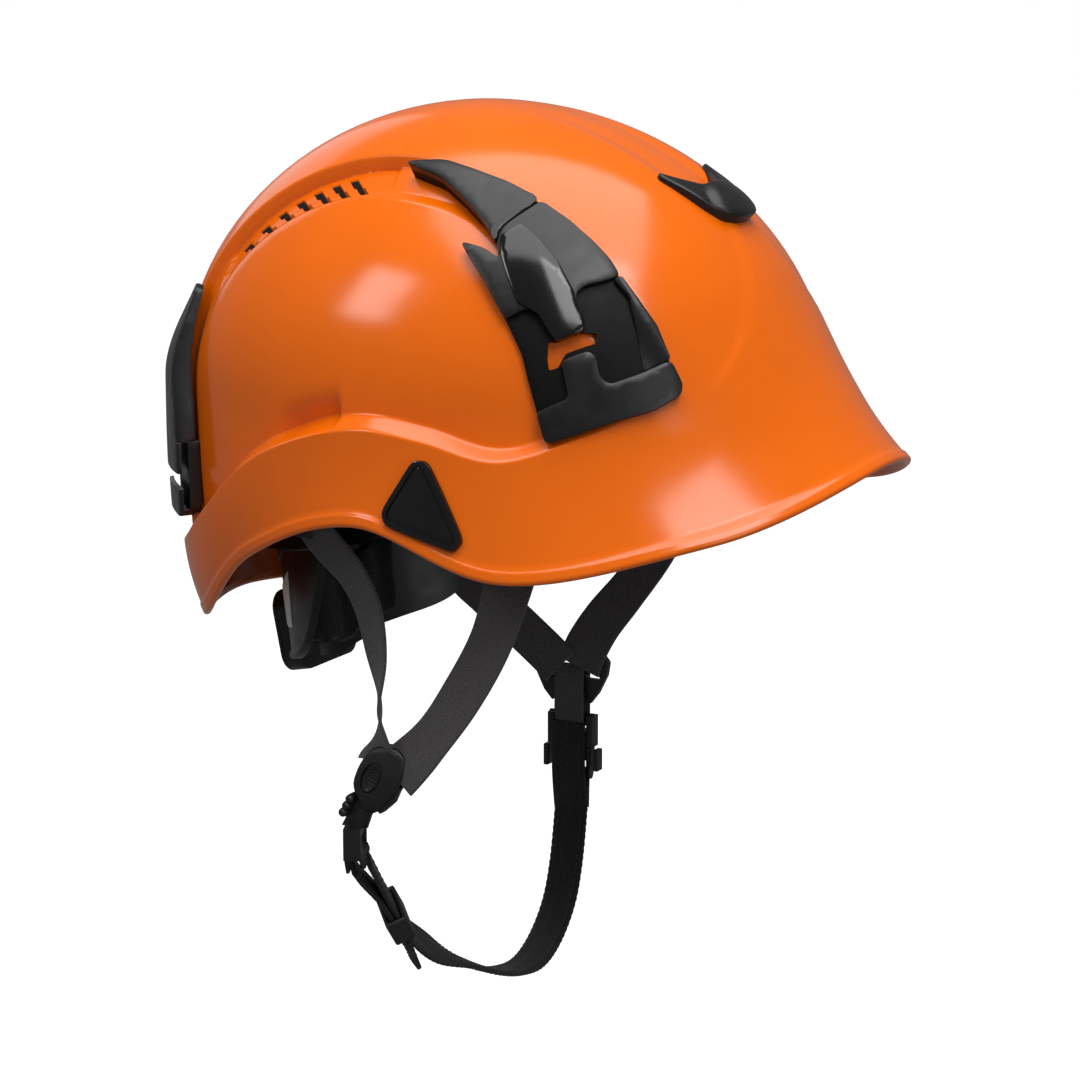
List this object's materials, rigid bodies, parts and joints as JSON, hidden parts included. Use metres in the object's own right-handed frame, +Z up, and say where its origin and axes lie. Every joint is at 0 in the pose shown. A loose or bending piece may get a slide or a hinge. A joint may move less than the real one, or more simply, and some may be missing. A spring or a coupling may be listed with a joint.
{
  "type": "climbing helmet",
  "caption": "Vented climbing helmet with short peak, lamp clips, ratchet nape cradle and Y-strap chin harness with side-release buckle.",
  "frame": {"origin": "centre of the head cavity at the height of the headband's reference plane", "axes": "+X to the wearer's left, -Y forward out of the face, +Z up through the crown"},
  "size_m": [0.2242, 0.3002, 0.3682],
  "materials": {
    "shell_abs": "glossy moulded ABS, orange",
    "foam": "black expanded foam",
    "clip_black": "satin to glossy black moulding",
    "plug_black": "glossy black moulding",
    "frame_black": "matte black moulding",
    "buckle_black": "fine-textured black moulding",
    "webbing": "dark grey twill webbing",
    "chin_webbing": "black ribbed webbing with dashed stitching",
    "pad_fabric": "dark knitted mesh over foam",
    "keeper_rubber": "black rubber",
    "screw_steel": "steel",
    "label_white": "blank white label"
  },
  "bodies": {
    "helmet": {"outer_shell": "shell_abs", "impact_liner": "foam", "front_clip": "clip_black", "lamp_clip_front_right": "clip_black", "lamp_clip_front_left": "clip_black", "lamp_clip_rear_right": "clip_black", "lamp_clip_rear_left": "clip_black", "badge_plug_right": "plug_black", "badge_plug_left": "plug_black", "cradle_ribbons": "webbing", "cradle_keys": "frame_black", "crown_pad": "pad_fabric", "headband": "frame_black", "headband_links": "frame_black", "brow_pad": "pad_fabric", "nape_pivot_pins": "frame_black", "strap_anchors_front": "frame_black", "strap_anchors_rear": "frame_black", "front_strap_right": "webbing", "front_strap_left": "webbing", "rear_strap_right": "webbing", "rear_strap_left": "webbing", "slider_right": "buckle_black", "y_plate_left": "buckle_black"},
    "nape": {"nape_cradle": "frame_black", "ratchet_housing": "frame_black", "ratchet_cover": "frame_black", "nape_pad": "pad_fabric", "care_label": "label_white"},
    "knob": {"ratchet_knob": "frame_black", "ratchet_pinion": "frame_black", "knob_screw": "screw_steel"},
    "rack_right": {"rack_right": "frame_black"},
    "rack_left": {"rack_left": "frame_black"},
    "button": {"slider_button": "buckle_black"},
    "chin": {"buckle_right": "buckle_black", "loop_strap_left": "webbing", "buckle_socket_left": "buckle_black", "buckle_plug_left": "buckle_black", "chin_strap": "chin_webbing", "strap_tail": "chin_webbing"},
    "tab_front": {"buckle_tab_front": "buckle_black"},
    "tab_rear": {"buckle_tab_rear": "buckle_black"},
    "keeper": {"strap_keeper": "keeper_rubber"}
  },
  "joints": [
    {"name": "nape_tilt", "type": "hinge", "parent": "helmet", "child": "nape", "pos_m": [0, 0.038, -0.022], "axis": [1, 0, 0], "range_deg": [-8, 8]},
    {"name": "knob_turn", "type": "hinge", "parent": "nape", "child": "knob", "pos_m": [0, 0.0804, -0.089], "axis": [0, 0.9799, -0.1994], "range_deg": [0, 90]},
    {"name": "rack_right_slide", "type": "slide", "parent": "nape", "child": "rack_right", "axis": [1, 0, 0], "range_m": [0, 0.0097]},
    {"name": "rack_left_slide", "type": "slide", "parent": "nape", "child": "rack_left", "axis": [-1, 0, 0], "range_m": [0, 0.0097]},
    {"name": "button_press", "type": "slide", "parent": "helmet", "child": "button", "axis": [1, 0, 0], "range_m": [0, 0.0008], "stiffness_N_per_m": 400},
    {"name": "chin_swing", "type": "hinge", "parent": "helmet", "child": "chin", "pos_m": [0, 0.008, -0.131], "axis": [1, 0, 0], "range_deg": [-12, 12]},
    {"name": "tab_front_press", "type": "slide", "parent": "chin", "child": "tab_front", "axis": [0, 1, 0], "range_m": [0, 0.0015], "stiffness_N_per_m": 500},
    {"name": "tab_rear_press", "type": "slide", "parent": "chin", "child": "tab_rear", "axis": [0, -1, 0], "range_m": [0, 0.0015], "stiffness_N_per_m": 500},
    {"name": "keeper_slide", "type": "slide", "parent": "chin", "child": "keeper", "axis": [0.5865, -0.0731, -0.8067], "range_m": [-0.003, 0.003]}
  ],
  "couplings": [
    {"joint": "rack_right_slide", "follows": "knob_turn", "m_per_rad": 0.0061115},
    {"joint": "rack_left_slide", "follows": "knob_turn", "m_per_rad": 0.0061115}
  ]
}
